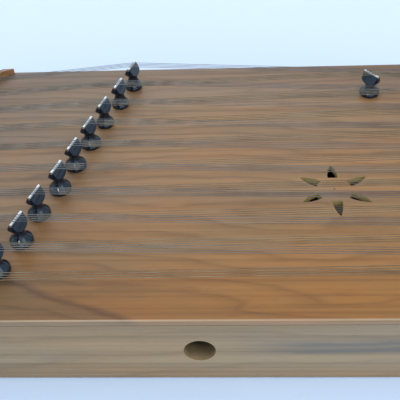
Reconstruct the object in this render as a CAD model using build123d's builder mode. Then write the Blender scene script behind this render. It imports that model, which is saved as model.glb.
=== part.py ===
from build123d import *
import os
from math import acos, atan, atan2, cos, degrees, hypot, radians, sin, tan

# Trapezoidal box zither of the santur kind, played with two light hammers.
# X runs along the strings, Y away from the player and Z up.  The origin is the centre of the
# underside.  Lengths are in millimetres.  "Inset" is measured square to a slanted side.

# --- sound box
front_width = 900.0        # long side, nearest the player
back_width = 370.0
depth = 280.0
height = 60.0
soundboard_t = 5.0
back_plate_t = 5.0
rail_t = 18.0
hitch_block_w = 28.0
pin_block_w = 34.0
edge_round = 2.0           # top edges, which the strings bend over, and bottom edges
corner_round = 3.0         # upright corners
seam_chamfer = 0.4         # fine groove where each plate meets the rails and blocks
sound_hole_d = 20.0        # through the front rail
post_d = 10.0
post_from_bridge = 12.0    # sound posts stand this far to the left of their bridge

# --- rosettes: pointed petals round a plain centre, cut by hand and so not quite alike
rosette_right = (93.5, -23.5)
rosette_left = (-205.0, -23.5)
petal_cuts = [(29, 27.5), (90, 26.5), (151, 27.0), (210, 27.0), (273, 28.0), (330, 29.0)]  # turn, tip
petal_root_r = 12.2
petal_half_w = 3.5
petal_bulge = 1.2

# --- nuts, a wooden strip with a rod along its top
nut_inset = 3.8
nut_w = 7.4
nut_h = 6.0
nut_flat_w = 5.2           # level top, from the inner face; the rest slopes to the outer face
nut_outer_h = 2.6
nut_rod_d = 3.0
nut_rod_rise = 2.0         # how far the rod stands above the wood
nut_end_gap = 1.5          # from the front and back edges of the box
nut_rod_end_gap = 9.0
nut_taper_l = 7.0          # the top slopes down at both ends, beyond the rod
nut_taper_drop = 2.0

# --- strings
courses = 9                # of each kind, treble and bass by turns
strings_per_course = 4
string_gap = 2.0
back_margin = 29.0         # first treble course from the back edge
front_margin = 25.0        # last bass course from the front edge
bass_in_front = 15.7       # each bass course from the treble course behind it
treble_string_d = 0.36
bass_string_d = 0.45
string_clearance = 0.05    # round everything a string passes over

# --- bridges, one loose turned piece under each course
treble_split_back = 0.3443   # share of the string to the left of the bridge
treble_split_front = 0.3386
bass_split_back = 0.811
bass_split_front = 0.953
treble_set_over = [1.3, 1.1, 0, 0.3, 0.9, 2.0, 0, 1.4, 0]   # each loose bridge is tuned along X
bass_ridge_angle = -41.0   # from Y; the treble ridges follow their row
base_d = 16.2
small_base_d = 14.2        # under the shortest treble courses
small_bases = 3
base_h = 3.0
base_edge = 0.5            # rounding of the base's rim
groove_w = 0.8             # square groove between base and bell
bell_inset = 0.3           # foot of the bell from the base's rim
bell_lean = 0.55           # inward for each unit upward, at the foot of the bell
neck_d = 7.6
neck_z = 10.9
head_d = 15.0
head_z = 16.2              # height of the widest part of the head
crown_d = 14.4
ridge_z = 21.3             # height of the wood under the rod
bass_lower = 2.7           # the bass bridges are this much shorter, above the bell
ridge_w = 2.6
ridge_half_angle = 28.0
head_edge = 0.4            # rounding of the head's slanted faces
bridge_rod_d = 2.2
bridge_rod_rise = 0.9      # how far the rod stands above the wood

# --- pins, four rows in each slanted side
pin_rows_top = 14.0        # first row below the top
pin_rows_bottom = 8.0      # last row above the back plate
tuning_pin_d = 5.0
tuning_pin_out = 21.0
tuning_pin_in = 24.0
pin_square_w = 3.9         # across the flats of the end that the key turns
pin_square_l = 11.0
pin_bore_clearance = 0.04  # round each turning pin
pin_bore_rest = 1.0        # depth left beyond the pin's end
hitch_pin_d = 2.0
hitch_pin_out = 4.5
hitch_pin_in = 16.0

LEFT, RIGHT = -1, 1
slope = (front_width - back_width) / (2 * depth)
norm = hypot(1, slope)
half_mid = (front_width + back_width) / 4            # half width at mid depth
course_pitch = (depth - back_margin - front_margin - bass_in_front) / (courses - 1)
side_reach = depth * norm                            # longer than a slanted side
pin_row_pitch = (height - back_plate_t - pin_rows_top - pin_rows_bottom) / (strings_per_course - 1)
nut_line_inset = nut_inset + nut_w / 2
nut_rod_z = nut_h + nut_rod_rise - nut_rod_d / 2
rail_h = height - soundboard_t - back_plate_t


def half_width(y):
    return half_mid - slope * y


def outward(side):
    return Vector(side / norm, slope / norm, 0)


def towards_back(side):
    return Vector(-side * slope / norm, 1 / norm, 0)


def trapezoid(left_inset, right_inset, front=-depth / 2, back=depth / 2):
    """Corners of the plan between two depths, drawn in from the slanted sides."""
    left = left_inset * norm
    right = right_inset * norm
    return [
        (left - half_width(front), front),
        (half_width(front) - right, front),
        (half_width(back) - right, back),
        (left - half_width(back), back),
    ]


def side_strip(side, width):
    """Corners of a strip of the plan along one slanted side."""
    inner = width * norm
    return [
        (side * half_width(-depth / 2), -depth / 2),
        (side * half_width(depth / 2), depth / 2),
        (side * (half_width(depth / 2) - inner), depth / 2),
        (side * (half_width(-depth / 2) - inner), -depth / 2),
    ]


def outer_corners(side):
    """The two corners of the current sketch that lie on a slanted side face."""
    return vertices().sort_by(lambda corner: side * corner.X - half_width(corner.Y))[-2:]


def side_section(side, z):
    """A plane square across one slanted side: x outwards from its face, y up from z."""
    out = outward(side)
    return Plane(origin=(side * half_mid, 0, z), x_dir=out, z_dir=(out.Y, -out.X, 0))


def finish(piece, label):
    piece.part.label = label
    export_step(piece.part, f"parts/{label}.step")


os.makedirs("parts", exist_ok=True)

# ---------------------------------------------------------------- sound box
with BuildSketch() as rosette:
    for turn, tip_r in petal_cuts:
        with BuildLine(Plane.XY.rotated((0, 0, turn))):
            root = Line((petal_root_r, -petal_half_w), (petal_root_r, petal_half_w))
            left_side = SagittaArc(root @ 1, (tip_r, 0), petal_bulge)
            SagittaArc(left_side @ 1, root @ 0, petal_bulge)
        make_face()

with BuildPart() as soundboard:
    with BuildSketch(Plane.XY.offset(height - soundboard_t)):
        Polygon(*trapezoid(0, 0), align=None)
        fillet(vertices(), corner_round)
    extrude(amount=soundboard_t)
    fillet(edges().group_by(Axis.Z)[-1], edge_round)
    chamfer(edges().group_by(Axis.Z)[0], seam_chamfer)
    with BuildSketch(Plane.XY.offset(height)):
        with Locations(rosette_right, rosette_left):
            add(rosette.sketch)
    extrude(amount=-soundboard_t, mode=Mode.SUBTRACT)
finish(soundboard, "soundboard")

with BuildPart() as back_plate:
    with BuildSketch():
        Polygon(*trapezoid(0, 0), align=None)
        fillet(vertices(), corner_round)
    extrude(amount=back_plate_t)
    fillet(edges().group_by(Axis.Z)[0], edge_round)
    chamfer(edges().group_by(Axis.Z)[-1], seam_chamfer)
finish(back_plate, "back_plate")

with BuildPart() as front_rail:
    with BuildSketch(Plane.XY.offset(back_plate_t)):
        Polygon(*trapezoid(hitch_block_w, pin_block_w, back=rail_t - depth / 2), align=None)
    extrude(amount=rail_h)
    with Locations(Plane(origin=(0, -depth / 2, height / 2), z_dir=(0, -1, 0))):
        Hole(sound_hole_d / 2, rail_t)
finish(front_rail, "front_rail")

with BuildPart() as back_rail:
    with BuildSketch(Plane.XY.offset(back_plate_t)):
        Polygon(*trapezoid(hitch_block_w, pin_block_w, front=depth / 2 - rail_t), align=None)
    extrude(amount=rail_h)
finish(back_rail, "back_rail")


# ---------------------------------------------------------------- courses
def nut_x(y):
    return half_width(y) - nut_line_inset * norm


def bridge_x(split, y):
    """A bridge that leaves this share of a string's length to its left."""
    return (2 * split - 1) * nut_x(y)


class Course:
    """One course: where its strings run, where its bridge stands and which way its ridge points."""

    def __init__(self, kind, number):
        self.kind = kind
        self.treble = kind == "treble"
        self.y = self.y_of(number)
        self.string_d = treble_string_d if self.treble else bass_string_d
        self.base_d = small_base_d if self.treble and number < small_bases else base_d
        self.lower = 0 if self.treble else bass_lower
        self.rod_z = ridge_z - self.lower + bridge_rod_rise - bridge_rod_d / 2
        row_back = bridge_x(treble_split_back if self.treble else bass_split_back, self.y_of(0))
        row_front = bridge_x(treble_split_front if self.treble else bass_split_front, self.y_of(-1))
        row_lean = (row_back - row_front) / (self.y_of(0) - self.y_of(-1))
        self.ridge_angle = degrees(atan(row_lean)) if self.treble else bass_ridge_angle
        self.bridge_x = row_back + row_lean * (self.y - self.y_of(0))
        if self.treble:
            self.bridge_x += treble_set_over[number]

    def y_of(self, number):
        """Depth of a course of this kind; -1 is the one nearest the player."""
        first = depth / 2 - back_margin - (0 if self.treble else bass_in_front)
        return first - (number % courses) * course_pitch

    def string_y(self, string):
        return self.y + (((strings_per_course - 1) / 2) - string) * string_gap

    def stand_off(self):
        """From whatever a string passes over to the middle of the string."""
        return self.string_d / 2 + string_clearance


treble = [Course("treble", number) for number in range(courses)]
bass = [Course("bass", number) for number in range(courses)]


def pin_place(side, course, string, pin_d):
    """A plane on a slanted side, z outwards, centred where this string's pin comes out."""
    y = course.string_y(string)
    on_face = Vector(side * half_width(y), y, height - pin_rows_top - string * pin_row_pitch)
    beside = pin_d / 2 + course.stand_off() * (1 - slope)
    back = towards_back(side)
    return Plane(origin=on_face + back * beside, x_dir=back, z_dir=outward(side))


def pin_places(side, pin_d):
    return [
        pin_place(side, course, string, pin_d)
        for course in treble + bass
        for string in range(strings_per_course)
    ]


# ---------------------------------------------------------------- blocks and pins
with BuildPart() as hitch_block:
    with BuildSketch(Plane.XY.offset(back_plate_t)):
        Polygon(*side_strip(LEFT, hitch_block_w), align=None)
        fillet(outer_corners(LEFT), corner_round)
    extrude(amount=rail_h)
    with Locations(*pin_places(LEFT, hitch_pin_d)):
        Hole(hitch_pin_d / 2, hitch_pin_in)
finish(hitch_block, "hitch_block")

with BuildPart() as pin_block:
    with BuildSketch(Plane.XY.offset(back_plate_t)):
        Polygon(*side_strip(RIGHT, pin_block_w), align=None)
        fillet(outer_corners(RIGHT), corner_round)
    extrude(amount=rail_h)
    with Locations(*pin_places(RIGHT, tuning_pin_d)):
        Hole(tuning_pin_d / 2 + pin_bore_clearance, tuning_pin_in + pin_bore_rest)
finish(pin_block, "pin_block")

with BuildPart() as hitch_pin:
    with BuildSketch(Plane.XY.offset(-hitch_pin_in)):
        Circle(hitch_pin_d / 2)
    extrude(amount=hitch_pin_in + hitch_pin_out)
    fillet(edges().group_by(Axis.Z)[-1], hitch_pin_d / 4)

with BuildPart() as tuning_pin:
    with BuildSketch(Plane.XY.offset(-tuning_pin_in)):
        Circle(tuning_pin_d / 2)
    extrude(amount=tuning_pin_in + tuning_pin_out)
    chamfer(edges().group_by(Axis.Z)[-1], tuning_pin_d / 8)
    chamfer(edges().group_by(Axis.Z)[0], tuning_pin_d / 8)
    with BuildSketch(Plane.XY.offset(tuning_pin_out - pin_square_l)):
        Circle(tuning_pin_d)
        Rectangle(pin_square_w, pin_square_w, mode=Mode.SUBTRACT)
    extrude(amount=pin_square_l, mode=Mode.SUBTRACT)

working_pins = [(course, 0) for course in treble]     # one pin of each treble course turns by itself


def placed(shape, places, label):
    """Copies of one finished shape, as separate solids of one piece."""
    with BuildPart() as group:
        with Locations(*places):
            add(shape.part)
    finish(group, label)


placed(hitch_pin, pin_places(LEFT, hitch_pin_d), "hitch_pins")
placed(
    tuning_pin,
    [
        pin_place(RIGHT, course, string, tuning_pin_d)
        for course in treble + bass
        for string in range(strings_per_course)
        if (course, string) not in working_pins
    ],
    "tuning_pins",
)
for number, (course, string) in enumerate(working_pins, 1):
    placed(tuning_pin, [pin_place(RIGHT, course, string, tuning_pin_d)], f"tuning_pin_{number}")

# ---------------------------------------------------------------- sound posts
with BuildPart() as sound_posts:
    with BuildSketch(Plane.XY.offset(back_plate_t)):
        for row in (treble, bass):
            for course in row[::2]:
                with Locations((course.bridge_x - post_from_bridge, course.y)):
                    Circle(post_d / 2)
    extrude(amount=rail_h)
finish(sound_posts, "sound_posts")


# ---------------------------------------------------------------- nuts
def nut_ends(gap):
    """Planes across the front and back ends of a nut."""
    return [Plane.XZ.offset(depth / 2 - gap), Plane.XZ.offset(gap - depth / 2)]


def trim(gap):
    """Keep what lies between the front and back ends."""
    front, back = nut_ends(gap)
    split(bisect_by=front, keep=Keep.BOTTOM)
    split(bisect_by=back, keep=Keep.TOP)


def make_nut(side, name):
    """A nut and its rod: the strip is level on top and slopes to the outside under the strings."""
    section = side_section(side, height)
    inner = -nut_inset - nut_w
    with BuildPart() as nut:
        with BuildSketch(section):
            Polygon(
                (inner, 0),
                (-nut_inset, 0),
                (-nut_inset, nut_outer_h),
                (inner + nut_flat_w, nut_h),
                (inner, nut_h),
                align=None,
            )
            with Locations((-nut_line_inset, nut_rod_z)):
                Circle(nut_rod_d / 2, mode=Mode.SUBTRACT)
        extrude(amount=side_reach, both=True)
        trim(nut_end_gap)
        with BuildSketch(Plane.YZ):
            end = depth / 2 - nut_end_gap
            top = height + nut_h
            Polygon(
                (end - nut_taper_l, top), (end, top), (end, top - nut_taper_drop), align=None
            )
            mirror(about=Plane.YZ)
        extrude(amount=front_width / 2, both=True, mode=Mode.SUBTRACT)
    finish(nut, f"{name}_nut")
    with BuildPart() as rod:
        with BuildSketch(section):
            with Locations((-nut_line_inset, nut_rod_z)):
                Circle(nut_rod_d / 2)
        extrude(amount=side_reach, both=True)
        trim(nut_rod_end_gap)
    finish(rod, f"{name}_nut_rod")


make_nut(LEFT, "left")
make_nut(RIGHT, "right")

# ---------------------------------------------------------------- bridges
def turn_bridge(base_r, lower):
    """A bridge turned in one piece, then cut to a gable with a groove for its rod."""
    rim_r = base_r - base_edge
    groove_r = base_r - groove_w
    bell_z = base_h + groove_w
    with BuildPart() as turned:
        with BuildSketch(Plane.XZ):
            with BuildLine():
                foot = Line((0, 0), (rim_r, 0))
                rim = ThreePointArc(foot @ 1, (base_r, base_h / 2), (rim_r, base_h))
                step_in = Line(rim @ 1, (groove_r, base_h))
                groove = Line(step_in @ 1, (groove_r, bell_z))
                step_out = Line(groove @ 1, (base_r - bell_inset, bell_z))
                bell = Spline(
                    step_out @ 1,
                    (neck_d / 2, neck_z - lower),
                    tangents=((-bell_lean, 1), (0, 1)),
                )
                flare = Spline(
                    bell @ 1, (head_d / 2, head_z - lower), tangents=((0, 1), (0.25, 1))
                )
                crown = Line(flare @ 1, (crown_d / 2, ridge_z - lower))
                top = Line(crown @ 1, (0, ridge_z - lower))
                Line(top @ 1, foot @ 0)
            make_face()
        revolve(axis=Axis.Z)
        with BuildSketch(Plane.XZ):
            drop = (ridge_z - lower) * tan(radians(ridge_half_angle))
            Polygon(
                (-ridge_w / 2, ridge_z - lower),
                (ridge_w / 2, ridge_z - lower),
                (ridge_w / 2 + drop, 0),
                (-ridge_w / 2 - drop, 0),
                align=None,
            )
        extrude(amount=base_d, both=True, mode=Mode.INTERSECT)
        gables = faces().filter_by(GeomType.PLANE).filter_by(lambda face: 0.1 < face.normal_at().Z < 0.9)
        fillet(gables.edges().filter_by(GeomType.LINE, reverse=True), head_edge)
        with BuildSketch(Plane.XZ):
            with Locations((0, ridge_z - lower + bridge_rod_rise - bridge_rod_d / 2)):
                Circle(bridge_rod_d / 2)
        extrude(amount=base_d, both=True, mode=Mode.SUBTRACT)
    return turned


with BuildPart() as bridge_rod:
    with BuildSketch(Plane.XZ.offset(-crown_d / 2)):
        Circle(bridge_rod_d / 2)
    extrude(amount=crown_d)

for row in (treble, bass):
    for number, course in enumerate(row, 1):
        turned = turn_bridge(course.base_d / 2, course.lower)
        stand = Location((course.bridge_x, course.y, height), (0, 0, -course.ridge_angle))
        placed(turned, [stand], f"{course.kind}_bridge_{number}")
        rod_place = stand * Pos(0, 0, course.rod_z)
        placed(bridge_rod, [rod_place], f"{course.kind}_bridge_rod_{number}")


# ---------------------------------------------------------------- strings
def tangent(left, right):
    """The line that lies on top of two circles (x, z, radius), as its normal's angle and reach."""
    run = (right[0] - left[0], right[1] - left[1])
    lean = atan2(run[1], run[0]) + acos((left[2] - right[2]) / hypot(*run))
    return lean, left[0] * cos(lean) + left[1] * sin(lean) + left[2]


def crossing(first, second):
    """Where two such lines meet."""
    turn = sin(second[0] - first[0])
    x = (first[1] * sin(second[0]) - second[1] * sin(first[0])) / turn
    z = (second[1] * cos(first[0]) - first[1] * cos(second[0])) / turn
    return x, z


def string_corners(course, string):
    """Corners of one string, pin to pin, taut over its edges, nuts and bridge, and their radii.

    The supports are worked out with x drawn in by norm, in which the slanted ones are round.
    """
    y = course.string_y(string)
    off = course.stand_off()
    edge_x = half_width(y) / norm - edge_round
    edge_z = height - edge_round
    rod_x = nut_x(y) / norm
    rod_z = height + nut_rod_z
    bridge_x = course.bridge_x + (y - course.y) * tan(radians(course.ridge_angle))
    supports = [
        (-edge_x, edge_z, edge_round + off),
        (-rod_x, rod_z, nut_rod_d / 2 + off),
        (bridge_x / norm, height + course.rod_z, bridge_rod_d / 2 + off),
        (rod_x, rod_z, nut_rod_d / 2 + off),
        (edge_x, edge_z, edge_round + off),
    ]
    face = edge_x + edge_round + off
    runs = [(radians(180), face)]
    runs += [tangent(left, right) for left, right in zip(supports, supports[1:])]
    runs += [(0, face)]
    corners = [crossing(first, second) for first, second in zip(runs, runs[1:])]
    pin_z = height - pin_rows_top - string * pin_row_pitch
    route = [(-face, pin_z), *corners, (face, pin_z)]
    return [(x * norm, z) for x, z in route], [radius for _, _, radius in supports]


def make_strings(row):
    strings = []
    for course in row:
        for string in range(strings_per_course):
            corners, radii = string_corners(course, string)
            with BuildPart() as wire:
                with BuildLine(Plane.XZ.offset(-course.string_y(string))) as route:
                    FilletPolyline(*corners, radius=radii)
                with BuildSketch(Plane(origin=route.line @ 0, z_dir=route.line % 0)):
                    Circle(course.string_d / 2)
                sweep(path=route.line)
            strings.append(wire.part.solid())
    group = Compound(label=f"{row[0].kind}_strings", children=strings)
    export_step(group, f"parts/{group.label}.step")
    return group


treble_strings = make_strings(treble)
bass_strings = make_strings(bass)
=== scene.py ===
# %% [markdown]
# A santur is a flat wooden box with a trapezoid plan.  Courses of four thin wires cross it, and under
# each course stands one loose turned bridge.  The frame brings in the measured model, node by node,
# and this lesson gives it its finish: figured walnut, polished black bridges, steel and brass wire.

from math import atan2, cos, pi, radians, sin

import bpy
from mathutils import Matrix, Vector


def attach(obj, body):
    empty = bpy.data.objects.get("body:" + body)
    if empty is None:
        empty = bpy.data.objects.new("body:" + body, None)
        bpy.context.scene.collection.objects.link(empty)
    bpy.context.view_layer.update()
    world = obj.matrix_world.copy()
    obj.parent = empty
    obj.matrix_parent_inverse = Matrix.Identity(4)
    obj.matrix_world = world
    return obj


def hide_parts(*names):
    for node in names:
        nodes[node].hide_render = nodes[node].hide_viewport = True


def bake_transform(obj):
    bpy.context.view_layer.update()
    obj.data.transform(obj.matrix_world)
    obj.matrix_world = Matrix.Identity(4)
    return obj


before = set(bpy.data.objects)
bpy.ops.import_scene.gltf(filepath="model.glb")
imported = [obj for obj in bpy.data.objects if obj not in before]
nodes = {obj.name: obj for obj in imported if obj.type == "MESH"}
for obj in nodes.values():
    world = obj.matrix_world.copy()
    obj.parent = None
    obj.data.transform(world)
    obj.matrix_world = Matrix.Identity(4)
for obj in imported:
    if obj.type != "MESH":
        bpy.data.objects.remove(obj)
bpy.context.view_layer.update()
MM = 0.001

# %% [markdown]
# The camera stands on the player's side, a little above the box, and looks down at the middle of the
# soundboard.  A rotation is easiest to read as three turns: aim to the side, tip down, then lean.

# %% Camera
CAMERA_AT = (0.0225, -0.4118, 0.4029)
LENS_MM, SENSOR_MM, NEAREST_SEEN = 65.4, 36, 0.01
aim_left, tip_down, lean = radians(3.62), radians(42.12), radians(-3.16)

camera = bpy.data.objects.new("camera", bpy.data.cameras.new("camera"))
bpy.context.scene.collection.objects.link(camera)
camera.matrix_world = (
    Matrix.Translation(CAMERA_AT)
    @ Matrix.Rotation(aim_left, 4, "Z")
    @ Matrix.Rotation(pi / 2 - tip_down, 4, "X")
    @ Matrix.Rotation(lean, 4, "Z")
)
camera.data.lens = LENS_MM
camera.data.sensor_width = SENSOR_MM
camera.data.clip_start = NEAREST_SEEN
bpy.context.scene.camera = camera
bpy.context.scene.view_settings.view_transform = "Standard"
print("camera at", CAMERA_AT, "lens", LENS_MM, "mm")


# %% [markdown]
# Every finish below is a small tree of nodes.  One helper adds a node and fills its sockets: a plain
# value is set, and another node's output is linked.

# %% Helpers for node trees
def new_tree(name):
    material = bpy.data.materials.new(name)
    material.use_nodes = True
    tree = material.node_tree
    tree.nodes.clear()
    return material, tree


def add(tree, kind, sockets=None, **settings):
    node = tree.nodes.new(kind)
    for key, value in settings.items():
        setattr(node, key, value)
    for key, value in (sockets or {}).items():
        if isinstance(value, bpy.types.NodeSocket):
            tree.links.new(value, node.inputs[key])
        else:
            node.inputs[key].default_value = value
    return node


def math_node(tree, operation, *values):
    """The result of one sum; each value is a number or another node's output."""
    sockets = dict(enumerate(values))
    return add(tree, "ShaderNodeMath", sockets, operation=operation).outputs[0]


RELIEF_DEPTH = 0.2 * MM


def surface(material, tree, sockets, height=None, bump=0.0):
    """Close a tree with its shader and, if height is given, with fine relief."""
    shader = add(tree, "ShaderNodeBsdfPrincipled", sockets)
    if height is not None:
        relief_sockets = {"Strength": bump, "Distance": RELIEF_DEPTH, "Height": height}
        relief = add(tree, "ShaderNodeBump", relief_sockets)
        tree.links.new(relief.outputs["Normal"], shader.inputs["Normal"])
    add(tree, "ShaderNodeOutputMaterial", {"Surface": shader.outputs["BSDF"]})
    return material


def finish_nodes(material, *names):
    """Give whole nodes of the measured model one finish."""
    for name in names:
        for slot in nodes[name].material_slots:
            slot.material = material


# %% [markdown]
# A finish is mostly colour over colour.  A ramp turns a pattern's value into a colour, and a mix lays one
# colour over another, or multiplies them, as a stain does to the wood below it.

# %% Colours
def ramp(tree, factor, *stops):
    """A colour ramp: stops are (position, colour)."""
    node = add(tree, "ShaderNodeValToRGB", {"Fac": factor})
    scale = node.color_ramp
    while len(scale.elements) < len(stops):
        scale.elements.new(0.5)
    for element, (position, colour) in zip(scale.elements, stops):
        element.position = position
        element.color = (*colour, 1)
    return node.outputs["Color"]


def grey(level):
    return (level, level, level)


def mix(tree, factor, first, second, blend="MIX"):
    """Blend two colours."""
    node = add(tree, "ShaderNodeMix", data_type="RGBA", blend_type=blend)
    for key, value in ((0, factor), (6, first), (7, second)):
        if isinstance(value, bpy.types.NodeSocket):
            tree.links.new(value, node.inputs[key])
        else:
            node.inputs[key].default_value = value if key == 0 else (*value, 1)
    return node.outputs[2]


# %% [markdown]
# Patterns read Object coordinates, which here are metres in the instrument's own frame.  So a grain that
# is drawn along X runs the whole length of the box, and it stays with the wood when a piece moves.

# %% Patterns and places
def place(tree, scale, shift=(0, 0, 0)):
    """Object coordinates, scaled and then shifted."""
    where = add(tree, "ShaderNodeTexCoord").outputs["Object"]
    sockets = {"Vector": where, "Location": shift, "Scale": scale}
    return add(tree, "ShaderNodeMapping", sockets, vector_type="POINT").outputs["Vector"]


def noise(tree, vector, detail=2.0, rough=0.5, distort=0.0):
    """Cloudy values from about 0.3 to 0.7; the vector's own scale sets their size."""
    sockets = {"Vector": vector, "Scale": 1.0, "Detail": detail, "Roughness": rough}
    return add(tree, "ShaderNodeTexNoise", {**sockets, "Distortion": distort}).outputs["Fac"]


def length(tree, vector):
    return add(tree, "ShaderNodeVectorMath", {0: vector}, operation="LENGTH").outputs["Value"]


def coordinate(tree, axis):
    where = add(tree, "ShaderNodeTexCoord").outputs["Object"]
    return add(tree, "ShaderNodeSeparateXYZ", {"Vector": where}).outputs[axis]


def share(tree, value, start, end):
    """0 where a value is at its start and 1 where it is at its end."""
    return add(
        tree, "ShaderNodeMapRange", {"Value": value, "From Min": start, "From Max": end}
    ).outputs[0]


# %% [markdown]
# A colour is allowed to change along an axis, across a slanted line, or about a point.  Some of these
# changes are the wood's own tone, and some are painted shade and sheen, where the light falls off.

# %% Shades that change from place to place
def along(tree, axis, *stops):
    """A shade that changes along one axis; stops are (place in metres, shade)."""
    start, end = stops[0][0], stops[-1][0]
    part = share(tree, coordinate(tree, axis), start, end)
    return ramp(tree, part, *[((at_m - start) / (end - start), colour) for at_m, colour in stops])


def beyond_line(tree, point, direction, soft, wobble):
    """0 on one side of a line on the board and 1 on the other, with a wandering soft edge."""
    where = place(tree, (1, 1, 1), shift=(-point[0], -point[1], 0))
    reach = add(
        tree, "ShaderNodeVectorMath", {0: where, 1: (*direction, 0)}, operation="DOT_PRODUCT"
    ).outputs["Value"]
    bend = noise(tree, place(tree, (14, 40, 40)), 3.0)
    bent = math_node(tree, "MULTIPLY_ADD", bend, wobble, reach)
    return share(tree, bent, -soft, soft)


def near(tree, point, inside, outside):
    """1 within a radius of a point on the board and 0 outside another."""
    reach = length(tree, place(tree, (1, 1, 0), shift=(-point[0], -point[1], 0)))
    return share(tree, reach, outside, inside)


# %% [markdown]
# A flat-sawn board cuts through its growth rings at a low angle, and they show as long nested ovals.
# Here they are the distance from a point, stretched along the grain and bent by noise.  Each turn of
# that distance is one year: a soft light part and a thin dark line.

# %% Figure of the wood
def figure(tree, centre, stretch, rings, wobble):
    """Nested ovals about a point, drawn out along X; wobble bends them."""
    where = place(tree, (1 / stretch, 1, 1), shift=(-centre[0] / stretch, -centre[1], 0))
    bend = noise(tree, place(tree, (5, 26, 26)), 3.0, 0.55)
    bent = math_node(tree, "MULTIPLY_ADD", bend, wobble, length(tree, where))
    return math_node(tree, "MULTIPLY", bent, rings)


def ring_lines(tree, turns):
    """Soft light and a thin dark line once in every turn."""
    return ramp(
        tree,
        math_node(tree, "FRACT", turns),
        (0.0, (0.62, 0.60, 0.58)),
        (0.16, (1.02, 1.02, 1.01)),
        (0.55, (1.06, 1.05, 1.03)),
        (0.92, (0.80, 0.77, 0.74)),
        (1.0, (0.62, 0.60, 0.58)),
    )


# %% [markdown]
# Walnut under satin lacquer.  A plank's pattern has three sizes: broad bands of heartwood and sapwood,
# the growth lines inside them, and short dark pores.  All are stretched along the grain.  The lacquer is
# a thin clear coat that sinks into the pores, so the pores also make the only relief.

# %% Walnut
WHITE, BLACK = grey(1), grey(0)


def walnut(name, light, middle, dark, rough, coat, ovals, strength, shade=None):
    """Lacquered walnut; strength is how much of the figure and its clouds of colour shows."""
    material, tree = new_tree(name)
    bands = noise(tree, place(tree, (1.0, 13, 13)), 3.0, 0.5, 0.4)
    lines = noise(tree, place(tree, (1.3, 190, 190)), 5.0, 0.6, 0.2)
    pores = noise(tree, place(tree, (70, 1500, 1500)))
    clouds = noise(tree, place(tree, (9, 42, 42), shift=(0.3, 0.1, 0)), 3.0, 0.55, 0.5)
    base = ramp(tree, bands, (0.3, dark), (0.5, middle), (0.7, light))
    streaks = ramp(tree, lines, (0.33, (0.66, 0.63, 0.60)), (0.52, WHITE), (0.7, (1.14, 1.13, 1.12)))
    tint = ramp(tree, clouds, (0.36, (1.14, 0.98, 0.78)), (0.5, WHITE), (0.64, (0.88, 0.99, 1.20)))
    specks = ramp(tree, pores, (0.60, WHITE), (0.72, (0.60, 0.54, 0.48)))
    rings = ring_lines(tree, figure(tree, *ovals))
    for amount, layer in ((0.75, streaks), (strength, rings), (strength, tint), (0.55, specks)):
        base = mix(tree, amount, base, layer, "MULTIPLY")
    if shade is not None:
        base = shade(tree, base)
    sockets = {
        "Base Color": base,
        "Roughness": ramp(tree, lines, (0.3, grey(rough + 0.06)), (0.7, grey(rough - 0.04))),
        "Coat Weight": coat,
        "Coat Roughness": 0.3,
        "Specular IOR Level": 0.4,
    }
    return surface(material, tree, sockets, pores, 0.06)


# %% [markdown]
# The soundboard is painted darker and greyer towards the back: painted shade where less light falls, and a
# bluish painted sheen.  It is also darker and greyer to the left, and a dark streak crosses its front
# corner, where sapwood begins.

# %% Painted shade and sheen of the soundboard
SAPWOOD_POINT, SAPWOOD_ACROSS = (-0.068, -0.1245), (0.42, 0.907)
SAPWOOD_SOFT, SAPWOOD_WOBBLE = 0.009, 0.012


def painted_shade_sheen_and_streak(tree, base):
    """Painted shade and a bluish painted sheen to the back, darker and greyer to the left, and one dark
    streak.
    """
    # painted shade: darker towards the back, where less light falls; its bluer tones are a painted sheen
    painted_falloff_and_sheen = along(
        tree, "Y",
        (-0.140, (0.95, 0.78, 0.50)),
        (-0.117, (0.96, 0.86, 0.64)),
        (-0.095, (0.90, 0.89, 0.92)),
        (-0.066, (0.95, 1.00, 1.22)),
        (-0.038, (1.16, 1.20, 1.42)),
        (-0.004, (1.08, 1.14, 1.48)),
        (0.030, (1.00, 1.12, 1.64)),
        (0.065, (0.92, 1.10, 1.90)),
        (0.100, (0.72, 0.84, 1.50)),
        (0.140, (0.48, 0.58, 1.20)),
    )
    to_left = along(tree, "X", (-0.20, (0.74, 0.84, 1.06)), (-0.02, WHITE))
    corner = beyond_line(tree, SAPWOOD_POINT, SAPWOOD_ACROSS, SAPWOOD_SOFT, SAPWOOD_WOBBLE)
    streak = ramp(
        tree, corner,
        (0.0, (0.80, 0.88, 1.06)),
        (0.30, (0.78, 0.84, 1.0)),
        (0.5, (0.50, 0.48, 0.56)),
        (0.75, WHITE),
    )
    for layer in (painted_falloff_and_sheen, to_left, streak):
        base = mix(tree, 1.0, base, layer, "MULTIPLY")
    return base


# %% [markdown]
# The plate's edges show that it is solid wood.  Its sides are bare where they were cut, its rounded top
# edge is worn pale and also carries a painted highlight, and the petals of the rosettes are cut through
# clean light wood.  Each rosette was set out with compasses, and their point has left a small dark mark in
# its centre.

# %% Edges and rosettes of the soundboard
ROSETTES = ((0.0935, -0.0235), (-0.205, -0.0235))
ROSETTE_REACH = (0.030, 0.031)
COMPASS_MARK = (0.0004, 0.0010)
CUT_WOOD, WORN_EDGE_AND_HIGHLIGHT = (0.30, 0.25, 0.17), (0.46, 0.37, 0.24)
PETAL_WALL, MARK = (0.40, 0.30, 0.13), (0.06, 0.035, 0.02)


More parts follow.
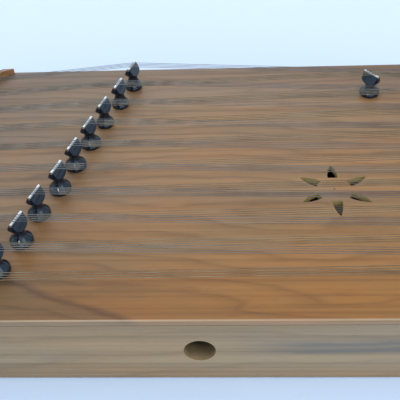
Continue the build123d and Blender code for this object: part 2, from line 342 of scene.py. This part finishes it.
def board_shade(tree, base):
    """The soundboard's painted shade and sheen, then its edges, its rosettes and the marks of the
    compasses.
    """
    base = painted_shade_sheen_and_streak(tree, base)
    # facing is 1 on the level top and 0 on upright faces
    normal = add(tree, "ShaderNodeTexCoord").outputs["Normal"]
    facing = add(tree, "ShaderNodeSeparateXYZ", {"Vector": normal}).outputs["Z"]
    cut = share(tree, facing, 0.4, 0.1)
    edge_wear_and_highlight = ramp(tree, facing, (0.25, BLACK), (0.5, WHITE), (0.75, WHITE), (0.95, BLACK))
    base = mix(tree, cut, base, mix(tree, 0.5, base, CUT_WOOD))
    # the rounded edge is made paler: partly wear, partly a painted highlight
    base = mix(tree, edge_wear_and_highlight, base, mix(tree, 0.45, base, WORN_EDGE_AND_HIGHLIGHT))
    for centre in ROSETTES:
        walls = math_node(tree, "MULTIPLY", cut, near(tree, centre, *ROSETTE_REACH))
        base = mix(tree, walls, base, PETAL_WALL)
        base = mix(tree, near(tree, centre, *COMPASS_MARK), base, MARK)
    return base


# %% [markdown]
# The sides are plainer wood.  They are browner at the foot, where the back plate's edge shows, and a
# dark streak runs along their right half.  Inside the sound hole little light comes back, so the bore is
# darkened with its depth.

# %% Shade of the sides
STREAK_WOBBLE, STREAK_HEIGHTS, STREAK_START = 0.012, (0.030, 0.050), (0.02, 0.07)
HOLE_HEIGHT = 0.030
HOLE_EDGE = (0.0106, 0.0101)
HOLE_DEPTHS = (-0.1385, -0.124)
DARK_STREAK, DARK_BORE = (0.135, 0.118, 0.100), (0.012, 0.010, 0.008)


def dark_streak(tree):
    """How much of the dark streak shows: a wavering double band, to the right of the sound hole."""
    bend = noise(tree, place(tree, (16, 16, 60)), 3.0)
    bent = math_node(tree, "MULTIPLY_ADD", bend, STREAK_WOBBLE, coordinate(tree, "Z"))
    band = ramp(
        tree, share(tree, bent, *STREAK_HEIGHTS),
        (0.0, BLACK), (0.3, WHITE), (0.5, grey(0.55)), (0.62, grey(0.9)), (0.9, BLACK),
    )
    to_right = share(tree, coordinate(tree, "X"), *STREAK_START)
    return math_node(tree, "MULTIPLY", band, to_right)


def rail_shade(tree, base):
    """Browner at the foot, one dark streak on the right, and a dark bore."""
    by_height = along(
        tree, "Z",
        (0.0, (0.92, 0.80, 0.68)),
        (0.010, (1.0, 0.90, 0.80)),
        (0.017, (1.04, 1.02, 1.0)),
        (0.045, (1.02, 1.00, 0.98)),
        (0.055, (0.86, 0.84, 0.84)),
    )
    base = mix(tree, 1.0, base, by_height, "MULTIPLY")
    base = mix(tree, dark_streak(tree), base, DARK_STREAK)
    from_hole = length(tree, place(tree, (1, 0, 1), shift=(0, 0, -HOLE_HEIGHT)))
    in_bore = share(tree, from_hole, *HOLE_EDGE)
    deep = share(tree, coordinate(tree, "Y"), *HOLE_DEPTHS)
    return mix(tree, math_node(tree, "MULTIPLY", in_bore, deep), base, DARK_BORE)


# %% [markdown]
# Three walnuts come from the one recipe: the warm figured soundboard, the plain greyer sides, and the
# brown strips of the nuts.  Each has its own place and spacing of the ovals.

# %% The three walnuts
top_walnut = walnut(
    "top_walnut",
    light=(0.42, 0.195, 0.052), middle=(0.335, 0.16, 0.050), dark=(0.225, 0.125, 0.056),
    rough=0.46, coat=0.16, ovals=((-0.16, -0.165), 5.5, 95, 0.05), strength=0.62,
    shade=board_shade,
)
side_walnut = walnut(
    "side_walnut",
    light=(0.31, 0.225, 0.128), middle=(0.28, 0.20, 0.112), dark=(0.225, 0.165, 0.092),
    rough=0.42, coat=0.2, ovals=((0.10, -0.14), 7.0, 70, 0.04), strength=0.35,
    shade=rail_shade,
)
back_walnut = walnut(
    "back_walnut",
    light=(0.30, 0.15, 0.06), middle=(0.23, 0.115, 0.045), dark=(0.15, 0.07, 0.03),
    rough=0.42, coat=0.2, ovals=((0.0, 0.05), 6.0, 80, 0.05), strength=0.5,
)
finish_nodes(top_walnut, "soundboard")
finish_nodes(side_walnut, "front_rail", "back_rail", "hitch_block", "pin_block", "back_plate")
finish_nodes(back_walnut, "left_nut", "right_nut", "sound_posts")
for wood in (top_walnut, side_walnut, back_walnut):
    print(wood.name, len(wood.node_tree.nodes), "nodes")

# %% [markdown]
# The bridges are turned from hardwood, dyed black and polished, so they are nearly a mirror.  Their black
# has a blue tint, a painted reflection of the bluish sky.  The lathe leaves faint rings, which need the
# polish to be seen.

# %% Black polish
black, tree = new_tree("black_polish")
swirl = noise(tree, place(tree, (260, 260, 1400)), 3.0)
# black dye tinted blue: the blue is a painted reflection of the bluish sky
dye_and_painted_sheen = ramp(tree, swirl, (0.3, (0.003, 0.006, 0.014)), (0.7, (0.008, 0.011, 0.022)))
gloss = ramp(tree, swirl, (0.3, grey(0.09)), (0.7, grey(0.19)))
sockets = {
    "Base Color": dye_and_painted_sheen,
    "Roughness": gloss,
    "Specular Tint": (0.66, 0.86, 1.0, 1),
    "Coat Weight": 0.25,
    "Coat Tint": (0.8, 0.9, 1.0, 1),
}
surface(black, tree, sockets, swirl, 0.04)
print(black.name, len(tree.nodes), "nodes")


# %% [markdown]
# The rods and pins are plain ground steel.  The wires are hair-thin and tarnished, steel for the treble
# and brass for the bass, so their metal is darker and duller than that of the rods.

# %% Metals
WIRE_SCRATCHES = (900, 900, 900)


def metal(name, colour, dull, rough, scale=(700, 700, 700)):
    """Bare metal: fine scratches in the roughness and patches where it has dulled."""
    material, tree = new_tree(name)
    scratch = noise(tree, place(tree, scale), 3.0)
    patch = noise(tree, place(tree, (45, 45, 45)), 3.0, 0.6)
    tone = ramp(tree, patch, (0.35, dull), (0.62, colour))
    rub = ramp(tree, scratch, (0.3, grey(rough - 0.06)), (0.7, grey(rough + 0.08)))
    sockets = {"Base Color": tone, "Metallic": 1.0, "Roughness": rub}
    return surface(material, tree, sockets, scratch, 0.03)


steel = metal("steel", (0.74, 0.75, 0.77), (0.60, 0.61, 0.63), 0.26)
steel_wire = metal(
    "steel_wire", (0.17, 0.178, 0.19), (0.10, 0.105, 0.115), 0.46, WIRE_SCRATCHES
)
brass_wire = metal(
    "brass_wire", (0.21, 0.18, 0.13), (0.13, 0.11, 0.08), 0.46, WIRE_SCRATCHES
)
WIRE = {"treble": (steel_wire, "steel_wire"), "bass": (brass_wire, "brass_wire")}

for name in nodes:
    if "bridge_rod" in name or name.endswith("_rod") or "_pin" in name:
        finish_nodes(steel, name)
    elif "_bridge_" in name:
        finish_nodes(black, name)
for kind, (wire_finish, _) in WIRE.items():
    finish_nodes(wire_finish, f"{kind}_strings")
    print(f"{kind}_strings", "in", wire_finish.name)


# %% [markdown]
# The wires are modelled the way they would be by hand: pick one piece, copy it, cut it, join pieces
# that belong together.  These helpers each do one such step.

# %% Helpers for modelling
def alone(piece):
    bpy.ops.object.select_all(action="DESELECT")
    piece.select_set(True)
    bpy.context.view_layer.objects.active = piece


def in_edit(piece):
    alone(piece)
    bpy.ops.object.mode_set(mode="EDIT")
    bpy.ops.mesh.select_all(action="SELECT")


def smooth(piece, degrees):
    """Smooth shading, but for edges sharper than this angle."""
    alone(piece)
    bpy.ops.object.shade_smooth_by_angle(angle=radians(degrees))


def own_copy(source, name):
    """A copy with a mesh of its own, free of any parent."""
    copy = source.copy()
    copy.data = source.data.copy()
    copy.name = copy.data.name = name
    copy.parent = None
    copy.matrix_world = Matrix()
    bpy.context.scene.collection.objects.link(copy)
    return copy


def join(pieces, name):
    bpy.ops.object.select_all(action="DESELECT")
    for piece in pieces:
        piece.select_set(True)
    bpy.context.view_layer.objects.active = pieces[0]
    bpy.ops.object.join()
    pieces[0].name = pieces[0].data.name = name
    return pieces[0]


# %% [markdown]
# The measured model holds all wires of a kind in one node.  Loose pieces are separated and sorted from
# back to front.  The ends of the rods, which the wires bend over, are read from their vertices.

# %% Find the wires and the rods
WELD = 0.000001


def middle_of(points):
    points = list(points)
    return sum(points, Vector()) / len(points)


def wires_of(name):
    """The wires of a node, each a closed piece of its own, from the back one to the front one."""
    work = own_copy(nodes[name], "wires")
    in_edit(work)
    bpy.ops.mesh.remove_doubles(threshold=WELD)
    bpy.ops.mesh.separate(type="LOOSE")
    bpy.ops.object.mode_set(mode="OBJECT")
    found = list(bpy.context.selected_objects)
    return sorted(found, key=lambda wire: -middle_of(vertex.co for vertex in wire.data.vertices).y)


def rod_ends(name):
    """Front and back end of a rod that runs from front to back."""
    points = [vertex.co for vertex in nodes[name].data.vertices]
    middle = middle_of(points)
    front = middle_of(point for point in points if point.y < middle.y)
    back = middle_of(point for point in points if point.y > middle.y)
    return front, back


def nut_point(name, y, z):
    """The point of a nut's rod at this depth."""
    front, back = rod_ends(name)
    part = (y - front.y) / (back.y - front.y)
    return Vector((front.x + (back.x - front.x) * part, y, z))


# %% [markdown]
# Each course is four wires that bend over one bridge.  The bridge is only pressed down by them, so it is
# slid along them to tune the two sides, and the bend moves with it.  Each course is made here as two
# pieces, one on each side of the bend.  A plane along the bridge's rod cuts them.

# %% Cut a course at its bend
def cut_half(course, name, bend, across, keep_left):
    """One side of the bend of a course, closed where it is cut."""
    half = own_copy(course, name)
    in_edit(half)
    bpy.ops.mesh.bisect(
        plane_co=bend,
        plane_no=across,
        use_fill=True,
        clear_inner=not keep_left,
        clear_outer=keep_left,
    )
    bpy.ops.object.mode_set(mode="OBJECT")
    smooth(half, 40)
    return half


def far_ends(wire):
    """The points at a wire's two ends, which hang lowest, beside the pins."""
    lowest = min(vertex.co.z for vertex in wire.data.vertices)
    return [vertex.co for vertex in wire.data.vertices if vertex.co.z < lowest + 0.1 * MM]


# %% [markdown]
# Each half gets its wire's finish and keeps its place, and the node of all wires is hidden.  The
# ends of all wires are kept, since the windings and loops below start there.

# %% Strings
COURSES, PER_COURSE = 9, 4
LEFT, RIGHT = -1, 1
UP = Vector((0, 0, 1))

wire_ends = []
for kind, (wire_finish, slot) in WIRE.items():
    wires = wires_of(f"{kind}_strings")
    halves = []
    for number in range(1, COURSES + 1):
        course = wires[(number - 1) * PER_COURSE : number * PER_COURSE]
        for string, wire in enumerate(course):
            ends = far_ends(wire)
            for side in (LEFT, RIGHT):
                end = middle_of(point for point in ends if point.x * side > 0)
                wire_ends.append((kind, number, string, side, end))
        front, back = rod_ends(f"{kind}_bridge_rod_{number}")
        bend = (front + back) / 2
        across = (back - front).cross(UP).normalized()
        whole = join(course, f"{kind}_course_{number}")
        for side_name, keep_left in (("left", True), ("right", False)):
            half = cut_half(whole, f"{kind}_course_{number}_{side_name}", bend, across, keep_left)
            half.data.materials.clear()
            half.data.materials.append(wire_finish)
            halves.append(half)
            nut = nut_point(f"{side_name}_nut_rod", bend.y, bend.z)
            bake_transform(half)
            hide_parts(f"{kind}_strings")
        bpy.data.objects.remove(whole)
    print(kind, len(halves), "halves,", sum(len(half.data.polygons) for half in halves), "faces")

# %% [markdown]
# Both ends of a wire are coiled: round a pin, or round the wire itself.  A coil is a small circle that a
# Screw modifier winds about Z.  Its two ends are then closed, so that it is a solid piece of wire.

# %% Coils of wire
LONG_SIDE, SHORT_SIDE, DEPTH = 0.900, 0.370, 0.280
COIL_WELD = 0.0000001
COIL_SMOOTH = 60


def side_axes(side):
    """Outwards from a slanted side, and towards the back along it."""
    slant = atan2((LONG_SIDE - SHORT_SIDE) / 2, DEPTH)
    outwards = Vector((side * cos(slant), sin(slant), 0))
    return outwards, Vector((-side * sin(slant), cos(slant), 0))


def helix(name, wire_r, around, turns, pitch, steps, sides):
    """A closed wire wound round Z, from +X through +Y, rising."""
    bpy.ops.object.select_all(action="DESELECT")
    bpy.ops.mesh.primitive_circle_add(
        vertices=sides, radius=wire_r, location=(around, 0, 0), rotation=(pi / 2, 0, 0)
    )
    piece = bpy.context.object
    piece.name = piece.data.name = name
    bpy.ops.object.transform_apply(location=True, rotation=True, scale=True)
    screw = piece.modifiers.new("wind", "SCREW")
    screw.angle = turns * 2 * pi
    screw.screw_offset = turns * pitch
    screw.steps = screw.render_steps = round(steps * turns)
    bpy.ops.object.modifier_apply(modifier="wind")
    in_edit(piece)
    bpy.ops.mesh.remove_doubles(threshold=COIL_WELD)
    bpy.ops.mesh.select_all(action="SELECT")
    bpy.ops.mesh.fill_holes(sides=sides)
    bpy.ops.mesh.select_all(action="SELECT")
    bpy.ops.mesh.normals_make_consistent(inside=False)
    bpy.ops.object.mode_set(mode="OBJECT")
    smooth(piece, COIL_SMOOTH)
    return piece


def at(source, name, x_axis, y_axis, z_axis, origin):
    """A copy of a model, carried to its place and direction."""
    copy = own_copy(source, name)
    turn = Matrix((x_axis, y_axis, z_axis)).transposed().to_4x4()
    copy.data.transform(Matrix.Translation(origin) @ turn)
    return copy


# %% [markdown]
# On the right each wire comes down the side of the box, passes in front of its pin and winds round it.
# The turns lie close, outwards along the pin.  One winding is made for each gauge of wire and copied to
# each pin.  Nine of the pins turn, and their windings ride them.

# %% Windings
PIN_R = 2.5 * MM
GAUGE = {"treble": 0.36 * MM, "bass": 0.45 * MM}
SLACK = 0.03 * MM
TURNS, TURN_PITCH = 3.5, 1.12
TURN_STEPS, WIRE_SIDES = 16, 6
DOWN = -UP


def coil_r(pin_r, kind):
    """From a pin's axis to the middle of the wire round it."""
    return pin_r + GAUGE[kind] / 2 + SLACK


winding = {
    kind: helix(
        f"winding_{kind}", gauge / 2, coil_r(PIN_R, kind),
        TURNS, gauge * TURN_PITCH, TURN_STEPS, WIRE_SIDES,
    )
    for kind, gauge in GAUGE.items()
}
outwards, towards_back = side_axes(RIGHT)
still = {"treble": [], "bass": []}
for kind, number, string, side, end in wire_ends:
    if side == LEFT:
        continue
    axis_point = end + towards_back * coil_r(PIN_R, kind)
    name = f"winding_{kind}_{number}_{string + 1}"
    coil = at(winding[kind], name, -towards_back, DOWN, outwards, axis_point)
    coil.data.materials.append(WIRE[kind][0])
    if kind == "treble" and string == 0:
        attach(coil, f"tuning_pin_{number}")
    else:
        still[kind].append(coil)
for kind, (_, slot) in WIRE.items():
    group = join(still[kind], f"{kind}_windings")
    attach(group, "sound_box")
    print(group.name, len(group.data.polygons), "faces")
for source in winding.values():
    bpy.data.objects.remove(source)

# %% [markdown]
# On the left each wire ends in a loop, closed by twisting the tail round the wire, and the loop is
# hooked over its hitch pin.

# %% Loops
HITCH_R = 1.0 * MM
RING_STEPS = 18
TAIL_TURNS, TAIL_PITCH, TAIL_AROUND = 7, 1.9, 0.95
TAIL_STEPS, TAIL_SIDES = 7, 5
TAIL_RISE = 1.2 * MM

loops = {"treble": [], "bass": []}
outwards, towards_back = side_axes(LEFT)
for kind, gauge in GAUGE.items():
    bpy.ops.object.select_all(action="DESELECT")
    bpy.ops.mesh.primitive_torus_add(
        major_radius=coil_r(HITCH_R, kind),
        minor_radius=gauge / 2,
        major_segments=RING_STEPS,
        minor_segments=WIRE_SIDES,
    )
    ring = bpy.context.object
    tail = helix(
        f"tail_{kind}", gauge / 2, gauge * TAIL_AROUND,
        TAIL_TURNS, gauge * TAIL_PITCH, TAIL_STEPS, TAIL_SIDES,
    )
    for wire_kind, number, string, side, end in wire_ends:
        if side == RIGHT or wire_kind != kind:
            continue
        axis_point = end + towards_back * coil_r(HITCH_R, kind)
        name = f"loop_{kind}_{number}_{string + 1}"
        loops[kind].append(at(ring, name, -towards_back, DOWN, -outwards, axis_point))
        tail_foot = end + outwards * gauge / 2 + UP * TAIL_RISE
        loops[kind].append(at(tail, name + "_tail", outwards, towards_back, UP, tail_foot))
    bpy.data.objects.remove(ring)
    bpy.data.objects.remove(tail)
    wire_finish, slot = WIRE[kind]
    group = join(loops[kind], f"{kind}_hitch_loops")
    group.data.materials.append(wire_finish)
    smooth(group, COIL_SMOOTH)
    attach(group, "sound_box")
    print(group.name, len(group.data.polygons), "faces")

# %% [markdown]
# The instrument lies on a sheet of pale paper that runs on behind it.  The paper is a little bluer in
# front and whiter towards the back, where more light falls on it.

# %% Floor and backdrop
FLOOR_SIZE = 6
SKY, SKY_STRENGTH = (0.78, 0.91, 1.0, 1), 0.95

bpy.ops.object.select_all(action="DESELECT")
bpy.ops.mesh.primitive_plane_add(size=FLOOR_SIZE, location=(0, 0, 0))
floor = bpy.context.object
floor.name = "floor"
paper, tree = new_tree("paper")
cloud = noise(tree, place(tree, (2, 2, 2)))
tone = ramp(tree, cloud, (0.3, (0.96, 0.97, 1.0)), (0.7, WHITE))
depth_tone = along(
    tree, "Y", (-0.3, (0.66, 0.78, 1.0)), (-0.14, (0.67, 0.79, 1.0)), (0.5, (0.80, 0.87, 0.98))
)
paper_colour = mix(tree, 1.0, tone, depth_tone, "MULTIPLY")
surface(paper, tree, {"Base Color": paper_colour, "Roughness": 0.9})
floor.data.materials.append(paper)

world = bpy.data.worlds.new("studio")
bpy.context.scene.world = world
world.use_nodes = True
world.node_tree.nodes["Background"].inputs["Color"].default_value = SKY
world.node_tree.nodes["Background"].inputs["Strength"].default_value = SKY_STRENGTH
print("floor", FLOOR_SIZE, "m, sky", SKY_STRENGTH)


# %% [markdown]
# Broad soft lights, so that nothing casts a hard shadow: a window behind and a fill in front.  A narrow
# third lamp gives no diffuse light, and shows only as highlights on polished wood and metal.

# %% Lights
def soft_light(name, place_at, aim_at, size, watts):
    light = bpy.data.lights.new(name, "AREA")
    light.shape = "RECTANGLE"
    light.size, light.size_y = size
    light.energy = watts
    lamp = bpy.data.objects.new(name, light)
    bpy.context.scene.collection.objects.link(lamp)
    lamp.location = place_at
    aim = Vector(aim_at) - Vector(place_at)
    lamp.rotation_euler = aim.to_track_quat("-Z", "Y").to_euler()
    print(name, watts, "W,", size, "m")
    return lamp


soft_light("window", place_at=(-0.6, 1.6, 1.3), aim_at=(0, 0, 0.05), size=(2.0, 1.2), watts=8)
soft_light("fill", place_at=(0.5, -1.2, 0.9), aim_at=(0.05, -0.1, 0.05), size=(1.6, 1.2), watts=11)
glint = soft_light(
    "glint", place_at=(-0.30, -0.80, 0.80), aim_at=(-0.1, 0.0, 0.07), size=(0.16, 0.30), watts=5
)
glint.visible_diffuse = False
